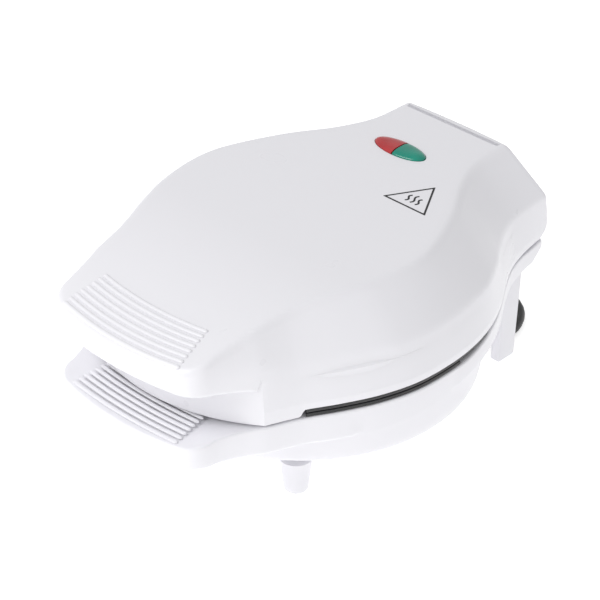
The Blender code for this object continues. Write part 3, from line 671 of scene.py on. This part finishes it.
def feet():
    """Tapered front feet that flare into the bowl's underside, and flat rear legs."""
    bm = bmesh.new()
    profile = [(5.0, 0.0), (5.8, 0.25), (6.3, 1.1), (6.7, 5), (7.2, 10), (7.9, 16), (8.5, 19.5), (9.6, 22),
               (11.4, 23.5), (13.5, 24.15), (13.5, 27)]
    for side in (-1, 1):
        foot = turned(profile, (side * FOOT_X, FOOT_Y), 40)
        for vertex in foot.verts:
            away = Vector((vertex.co.x, vertex.co.y - BODY_Y))
            limit = bowl_radius(vertex.co.z) - 0.4
            if vertex.co.z > 21.5 and away.length > limit:
                away *= limit / away.length
                vertex.co.x, vertex.co.y = away.x, BODY_Y + away.y
        merge(bm, foot)
        xs = sorted((side * 50.5, side * 57.0))
        leg = box((xs[0], 90, 0), (xs[1], 103, SHELF_UNDER + 2), bevel=1.5)
        for vertex in leg.verts:
            # The rear face leans back toward its top
            if vertex.co.y > 101 and vertex.co.z > 2:
                vertex.co.y += 3
        merge(bm, leg)
    obj = mesh_object("feet_and_legs", bm, WHITE, sharp=50)
    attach(obj, "base")


def hinge_barrel():
    """The raised barrel between the lid's cheeks, on a web that rises from the base's rear shelf."""
    half, radius = 40.0, 10.5
    profile = ((2.1, 0), (radius - 0.8, 0), (radius, 0.8), (radius, 2 * half - 0.8), (radius - 0.8, 2 * half),
               (2.1, 2 * half))
    barrel = aim(turned(profile, segments=64, closed=True), (-half, hinge.y, hinge.z), (half, hinge.y, hinge.z))
    obj = mesh_object("hinge_barrel", barrel, WHITE)
    boolean(obj, box((1 - half, hinge.y - 6, 56), (half - 1, hinge.y + 3.5, hinge.z - 5), bevel=0.5), "UNION")
    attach(obj, "base")


# --- Grip ribs, lens and pictogram -----------------------------------------------------------------------------


def grip_ribs(name, surface, body, fronts, halves, arc, rise):
    """Raised ribs that bow toward the front of a handle, from the first row's middle and half length to the last's."""
    bm = bmesh.new()
    half_width, sides, steps = 1.15, 8, 40
    for k in range(RIB_COUNT):
        t = k / (RIB_COUNT - 1)
        front = fronts[0] + (fronts[1] - fronts[0]) * t
        half = halves[0] + (halves[1] - halves[0]) * t
        rings = []
        for i in range(steps + 1):
            u = -1 + 2 * i / steps
            x = half * math.copysign(1 - (1 - abs(u)) ** 1.35, u)  # closer steps toward the ends
            y = front + arc - math.sqrt(arc**2 - x**2)
            along = Vector((math.sqrt(arc**2 - x**2), x, 0)).normalized()
            across = Vector((-along.y, along.x, 0))
            end = math.sqrt(max(0.02, 1 - max(0, (abs(x) - half + 1.4) / 1.4) ** 2))
            ring = []
            for s in range(2 * sides):
                a = math.pi * s / sides
                point = Vector((x, y, 0)) + across * (half_width * end * math.cos(a))
                lift = rise * end * math.sin(a) if a <= math.pi else 0.5 * math.sin(a)
                ring.append((point.x, point.y, surface(point.y) + lift))
            rings.append(ring)
        merge(bm, loft(rings))
    obj = mesh_object(name, bm, WHITE, sharp=60)
    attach(obj, body)


LENS_X, LENS_Y, LENS_HALF, LENS_DEEP, LENS_SPLIT = -2.8, 74.0, 16.4, 6.9, 0.4


def lens_oval(grow, low, high, steps=72):
    rings = []
    for z in (low, high):
        rings.append([(LENS_X + (LENS_HALF + grow) * math.cos(2 * math.pi * i / steps),
                       LENS_Y + (LENS_DEEP + grow) * math.sin(2 * math.pi * i / steps), z) for i in range(steps)])
    return loft(rings)


def lens(name, side, material, node):
    """One half of the oval indicator window, domed and rounded at its rim."""
    steps, rise = 40, node_box(node)[1].z - LID_TOP

    def half_oval(grow, z):
        ring = []
        for i in range(steps + 1):
            a = math.pi / 2 - math.pi * i / steps
            x = LENS_SPLIT + max(0, (LENS_HALF + grow - LENS_SPLIT) * math.cos(a))
            ring.append((LENS_X + side * x, LENS_Y + (LENS_DEEP + grow) * math.sin(a), z))
        return ring

    levels = [(2.0, LID_TOP - 5), (2.0, LID_TOP - 2.9), (0, LID_TOP - 2.8), (0, LID_TOP + 0.1)]
    for i in range(1, 9):
        a = math.pi / 2 * i / 8
        levels.append((-6.0 * (1 - math.cos(a)), LID_TOP + 0.1 + (rise - 0.1) * math.sin(a)))
    obj = mesh_object(name, loft([half_oval(*level) for level in levels]), material, sharp=50)
    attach(obj, "lid")
    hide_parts(node)


def strip(points, width, low, high):
    """A flat printed line of even width through points (x, y)."""
    left, right = [], []
    for i, point in enumerate(points):
        before, after = points[max(i - 1, 0)], points[min(i + 1, len(points) - 1)]
        along = (after - before).normalized()
        across = Vector((-along.y, along.x)) * width / 2
        left.append(point + across)
        right.append(point - across)
    outline = left + right[::-1]
    return loft([[(p.x, p.y, z) for p in outline] for z in (low, high)])


def heat_pictogram():
    """A plain warm-surface pictogram: an outlined triangle round three wavy lines."""
    centre, side, corner_radius = Vector((35.8, 41.4)), 28.0, 0.25
    low, high = LID_TOP - 0.05, LID_TOP + 0.06

    def triangle(size):
        points = []
        reach = size / math.sqrt(3) - 2 * corner_radius
        for corner in range(3):
            middle = math.radians(90 + 120 * corner)
            hub = centre + Vector((math.cos(middle), math.sin(middle))) * reach
            for turn in range(-60, 61, 20):
                a = middle + math.radians(turn)
                points.append(hub + Vector((math.cos(a), math.sin(a))) * corner_radius)
        return points

    outer, inner = triangle(side), triangle(side - 3.6)
    section = ((outer, low), (outer, high), (inner, high), (inner, low))
    bm = loft([[(p.x, p.y, z) for p in ring] for ring, z in section], closed=True)
    for offset in (-3.3, 0, 3.3):
        tall = 7.4 if offset == 0 else 6.0
        wave = [centre + Vector((offset + 0.85 * math.sin(2 * math.pi * t / 24), -3.6 + tall * t / 24))
                for t in range(25)]
        merge(bm, strip(wave, 1.05, low, high))
    obj = mesh_object("warm_surface_pictogram", bm, INK)
    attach(obj, "lid")


# --- Plates ----------------------------------------------------------------------------------------------------


RING_PITCH, RING_COUNT, BUMP_DEPTH = 54.0, 6, 11.0
SCREW_CIRCLE, SCREW_ANGLES = 80.0, (60, 120, 240, 300)


def ring_centres():
    yield 0.0, BODY_Y
    for i in range(RING_COUNT):
        a = math.radians(30 + 60 * i)
        yield RING_PITCH * math.cos(a), BODY_Y + RING_PITCH * math.sin(a)


def screw_points():
    for angle in SCREW_ANGLES:
        a = math.radians(angle)
        yield SCREW_CIRCLE * math.cos(a), BODY_Y + SCREW_CIRCLE * math.sin(a)


def well_profile():
    """Section of one ring mould below the plate's face: rounded lips, a half-round channel and a centre post."""
    outer, inner, depth, lip = 23.4, 8.4, 8.6, 1.0
    middle, half = (outer + inner) / 2, (outer - inner) / 2
    points = [(outer + lip + 0.3, 1.0), (outer + lip, 0.0)]
    for i in range(1, 4):
        a = math.pi / 2 * i / 3
        points.append((outer + lip * (1 - math.sin(a)), -lip * (1 - math.cos(a))))
    for i in range(1, 12):
        a = math.pi * i / 12
        points.append((middle + half * math.cos(a), -lip - (depth - lip) * math.sin(a)))
    for i in range(2, -1, -1):
        a = math.pi / 2 * (i + 1) / 3
        points.append((inner - lip * (1 - math.sin(a)), -lip * (1 - math.cos(a))))
    points += [(inner - lip, 0.0), (inner - lip - 0.3, 1.0)]
    return points


WING_FRONT, WING_DEPTH, WING_INSET = -72.4, 2.0, 0.8


def wing(side, rear, face, up):
    """A flange that reaches out over the housing's rim, from the notch's front end to a rear end."""
    ys = [y for y in STATIONS if WING_FRONT + 0.5 < y < rear - 0.5]
    outer = [(side * (interpolate(SKIRT_WIDTHS, y) - WING_INSET), y) for y in (WING_FRONT, *ys, rear)]
    inner = []
    for x, y in reversed(outer):
        reach = (PLATE_RADIUS - 3) / math.hypot(x, y - BODY_Y)
        inner.append((x * reach, BODY_Y + (y - BODY_Y) * reach))
    rings = []
    for cut, z in ((0.5, 0.0), (0.15, -0.15), (0.0, -0.5), (0.0, -WING_DEPTH + 0.3), (0.3, -WING_DEPTH)):
        rings.append([(x - side * cut, y, face + up * z) for x, y in outer]
                     + [(x, y, face + up * z) for x, y in inner])
    return loft(rings)


def plate(name, node, body, face, up, wing_rear):
    """A cast plate seen from its face: up is 1 where the moulds open upwards, and -1 where they open down."""
    def at(depth):
        return face + up * depth

    edge = 0.8
    profile = [(PLATE_RADIUS - edge, 0), (PLATE_RADIUS - 0.3 * edge, -0.25 * edge), (PLATE_RADIUS, -edge),
               (PLATE_RADIUS, -5), (PLATE_RADIUS - 2, -5), (PLATE_RADIUS - 2, -2.5)]
    obj = mesh_object(name, turned([(r, at(z)) for r, z in profile], (0, BODY_Y), 128), NONSTICK)
    for side in (-1, 1):
        boolean(obj, wing(side, wing_rear, face, up), "UNION")
    for x, y in ring_centres():
        bump = ((24.9, -1), (24.9, -3), (23.6, -6.5), (20, -BUMP_DEPTH + 0.4), (19, -BUMP_DEPTH))
        boolean(obj, turned([(r, at(z)) for r, z in bump], (x, y), 40), "UNION")
    for x, y in screw_points():
        boolean(obj, turned([(5.5, at(-6)), (5.5, at(-1))], (x, y), 24), "UNION")
    for x, y in ring_centres():
        boolean(obj, turned([(r, at(z)) for r, z in well_profile()], (x, y), 48, closed=True), "DIFFERENCE")
    for x, y in screw_points():
        sink = ((1.9, -7), (1.9, -2.3), (3.9, -2.3), (3.9, -0.5), (4.3, 0), (4.3, 1))
        boolean(obj, turned([(r, at(z)) for r, z in sink], (x, y), 28), "DIFFERENCE")
    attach(obj, body)
    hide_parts(node)


# --- Mains cord and plug ---------------------------------------------------------------------------------------


CORD = 6.4
RELIEF_START = (41.0, 73.6, 32.4)
RELIEF_END = (43.6, 92.0, 14.2)
COIL_CENTRE = (-62.0, 168.0)
COIL_RADIUS = 35.0
CORD_ROUTE = ((43.6, 92.2, 14.0), (44.1, 96.5, 10.2), (44.5, 102, 6.5), (44.7, 108, 4.2), (44.3, 115, 3.4),
              (42.2, 123, 3.3), (37.3, 131, 3.3), (29.6, 137, 3.3), (20, 139.8, 3.3), (9, 139.8, 3.3),
              (-3, 137.6, 3.3), (-16, 134, 3.3), (-27, 131.2, 3.3), (-38, 129.9, 3.3))
TAIL_ROUTE = ((-106.2, 177.6, 8.0), (-108.2, 183, 7.6), (-110.3, 190.7, 7.5))
PLUG_AT, PLUG_TURN = (-110.4, 191.0, 7.5), 14.0
COIL_STEPS = 32  # points in each turn


def coil_points():
    """Clockwise turns from the near side: one on the outside, one inside it, and one on top of both."""
    start, turns = 270, 3 + 70 / 360
    points = []
    for i in range(round(turns * COIL_STEPS) + 1):
        turn = i / COIL_STEPS
        angle = start - 360 * turn
        radius = COIL_RADIUS + CORD / 2 - CORD * blend(0.8, 1.1, turn) + 0.5 * CORD * blend(1.7, 2.0, turn)
        z = 3.3 + 5.6 * blend(1.65, 1.95, turn)
        a = math.radians(angle)
        points.append((COIL_CENTRE[0] + radius * math.cos(a), COIL_CENTRE[1] + radius * math.sin(a), z))
    return points


def plug():
    """A moulded two-blade plug lying flat: a waisted grip that narrows to the cord."""
    low, high, steps = 0.35, 24.0, 14
    rings = []
    for i in range(steps + 1):
        t = i / steps
        y = low + (high - low) * t
        grip = 1 - 0.1 * math.sin(math.pi * min(t / 0.75, 1)) ** 2
        half_x = (5.2 + 5.6 * blend(0, 0.45, t)) * grip + (0.2 if t > 0.75 else 0)
        half_z = (4.6 + 2.2 * blend(0, 0.45, t)) * grip
        if i in (0, steps):
            half_x, half_z = half_x - 0.8, half_z - 0.8
        ring = []
        for s in range(40):
            a = 2 * math.pi * s / 40
            cx, cz = math.cos(a), math.sin(a)
            ring.append((half_x * math.copysign(abs(cx) ** 0.55, cx), y,
                         half_z * math.copysign(abs(cz) ** 0.55, cz)))
        rings.append(ring)
    bm = loft(rings)
    for side in (-1, 1):
        for k in range(4):
            bar = box((-5.5, 6.5 + 3.1 * k, side * 5.6 - 0.9), (5.5, 7.9 + 3.1 * k, side * 5.6 + 0.9), bevel=0.5)
            merge(bm, bar)
    lying = Matrix.Translation(PLUG_AT) @ Matrix.Rotation(math.radians(PLUG_TURN), 4, "Z")
    bmesh.ops.transform(bm, matrix=lying, verts=bm.verts)
    obj = mesh_object("plug_body", bm, CABLE, sharp=50)
    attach(obj, "base")
    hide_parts("plug")
    return obj


def strain_relief():
    """A tapered sleeve with ring grooves that lets the cord bend gently where it leaves the bowl."""
    start, end = Vector(RELIEF_START), Vector(RELIEF_END)
    length = (end - start).length - 0.3
    profile = [(5.1, 0), (5.2, 0.6), (5.2, 8.4)]
    for k in range(5):
        z = 9.0 + 3.1 * k
        radius = 5.0 - 0.27 * k
        profile += [(radius, z), (radius, z + 1.5), (radius - 0.75, z + 1.8), (radius - 0.75, z + 2.7)]
    profile += [(3.8, length - 0.5), (3.5, length)]
    obj = mesh_object("cord_sleeve", aim(turned(profile, segments=40), start, end), CABLE, sharp=50)
    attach(obj, "base")
    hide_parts("strain_relief")
    return obj


def mains_cord():
    points = smooth_path(CORD_ROUTE, 4) + [Vector(p) for p in coil_points()] + smooth_path(TAIL_ROUTE, 4)
    curve = bpy.data.curves.new("mains_lead", "CURVE")
    curve.dimensions = "3D"
    curve.bevel_depth = CORD / 2 * MM
    curve.bevel_resolution = 6
    curve.use_fill_caps = True
    spline = curve.splines.new("POLY")
    spline.points.add(len(points) - 1)
    for knot, point in zip(spline.points, points):
        knot.co = (*(point * MM), 1)
    curve.materials.append(CABLE)
    obj = bpy.data.objects.new("mains_lead", curve)
    bpy.context.scene.collection.objects.link(obj)
    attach(obj, "base")
    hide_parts("mains_cord", "cord_coil", "cord_tail")
    plug()
    strain_relief()


# --- CAD nodes that keep their shape ---------------------------------------------------------------------------


def dress_nodes():
    """Gives every CAD node that stays in view its own finish."""
    finishes = {
        STEEL: ("hinge_pin", "plate_screw", "reflector_screw", "lamp_bracket", "thermostat_bracket", "thermal_fuse"),
        SHEATH: ("heater",),
        SHEET: ("reflector",),
        CERAMIC: ("thermostat", "terminal_block", "cord_clamp"),
        SLEEVE: ("lead",),
        GLASS: ("neon_lamp",),
        BRASS: ("blade",),
    }
    for name, obj in frame["nodes"].items():
        words = [(len(word), material) for material, group in finishes.items() for word in group if word in name]
        if words:
            obj.data.materials.clear()
            obj.data.materials.append(max(words, key=lambda found: found[0])[1])


# --- Studio ----------------------------------------------------------------------------------------------------


def pale_floor():
    recipe = Recipe("pale_floor", (0.8, 0.8, 0.8), 0.6)
    recipe.set("Emission Color", (1, 1, 1, 1))
    recipe.set("Emission Strength", 0.62)
    recipe.bump((recipe.noise(120, 3), 0.02, 0.0005))
    return recipe.material


def floor():
    bm = bmesh.new()
    bmesh.ops.create_grid(bm, x_segments=2, y_segments=2, size=6000)
    obj = mesh_object("floor", bm, pale_floor())
    obj.location.z = -0.0001  # just under the feet


def area_light(name, place, target, size, watts):
    light = bpy.data.lights.new(name, "AREA")
    light.shape, light.size, light.energy = "DISK", size, watts
    obj = bpy.data.objects.new(name, light)
    obj.location = place
    obj.rotation_euler = (Vector(target) - Vector(place)).to_track_quat("-Z", "Y").to_euler()
    bpy.context.scene.collection.objects.link(obj)


def studio():
    world = bpy.data.worlds.new("studio")
    world.use_nodes = True
    background = world.node_tree.nodes["Background"]
    background.inputs["Color"].default_value = (1, 1, 1, 1)
    background.inputs["Strength"].default_value = 0.66
    bpy.context.scene.world = world
    area_light("key", (-0.35, -1.3, 1.35), (0, 0, 0.08), 1.3, 17)
    bpy.context.scene.view_settings.view_transform = "Standard"


def camera():
    place, target = Vector((0.7094, -0.7472, 0.7422)), Vector((0.0572, -0.0641, 0.115))
    data = bpy.data.cameras.new("camera")
    data.lens = 144.8
    data.sensor_width = 36
    obj = bpy.data.objects.new("camera", data)
    obj.location = place
    obj.rotation_euler = (target - place).to_track_quat("-Z", "Y").to_euler()
    bpy.context.scene.collection.objects.link(obj)
    bpy.context.scene.camera = obj


# --- Assembly --------------------------------------------------------------------------------------------------


camera()
mains_cord()
lid_shell()
cheeks()
base_shell()
feet()
hinge_barrel()
grip_ribs("lid_grip_ribs", top_height, "lid", (-130.2, -106.9), (40.2, 35.9), 230, 0.9)
grip_ribs("base_grip_ribs", rim_height, "base", (-128.6, -105.0), (36.8, 33.5), 330, 0.55)
lens("red_window", -1, RED, "red_lens")
lens("green_window", 1, GREEN, "green_lens")
heat_pictogram()
plate("lower_moulds", "lower_plate", "base", lower_plate_high.z, 1, 12)
plate("upper_moulds", "upper_plate", "lid", upper_plate_low.z, -1, 40)
dress_nodes()
floor()
studio()
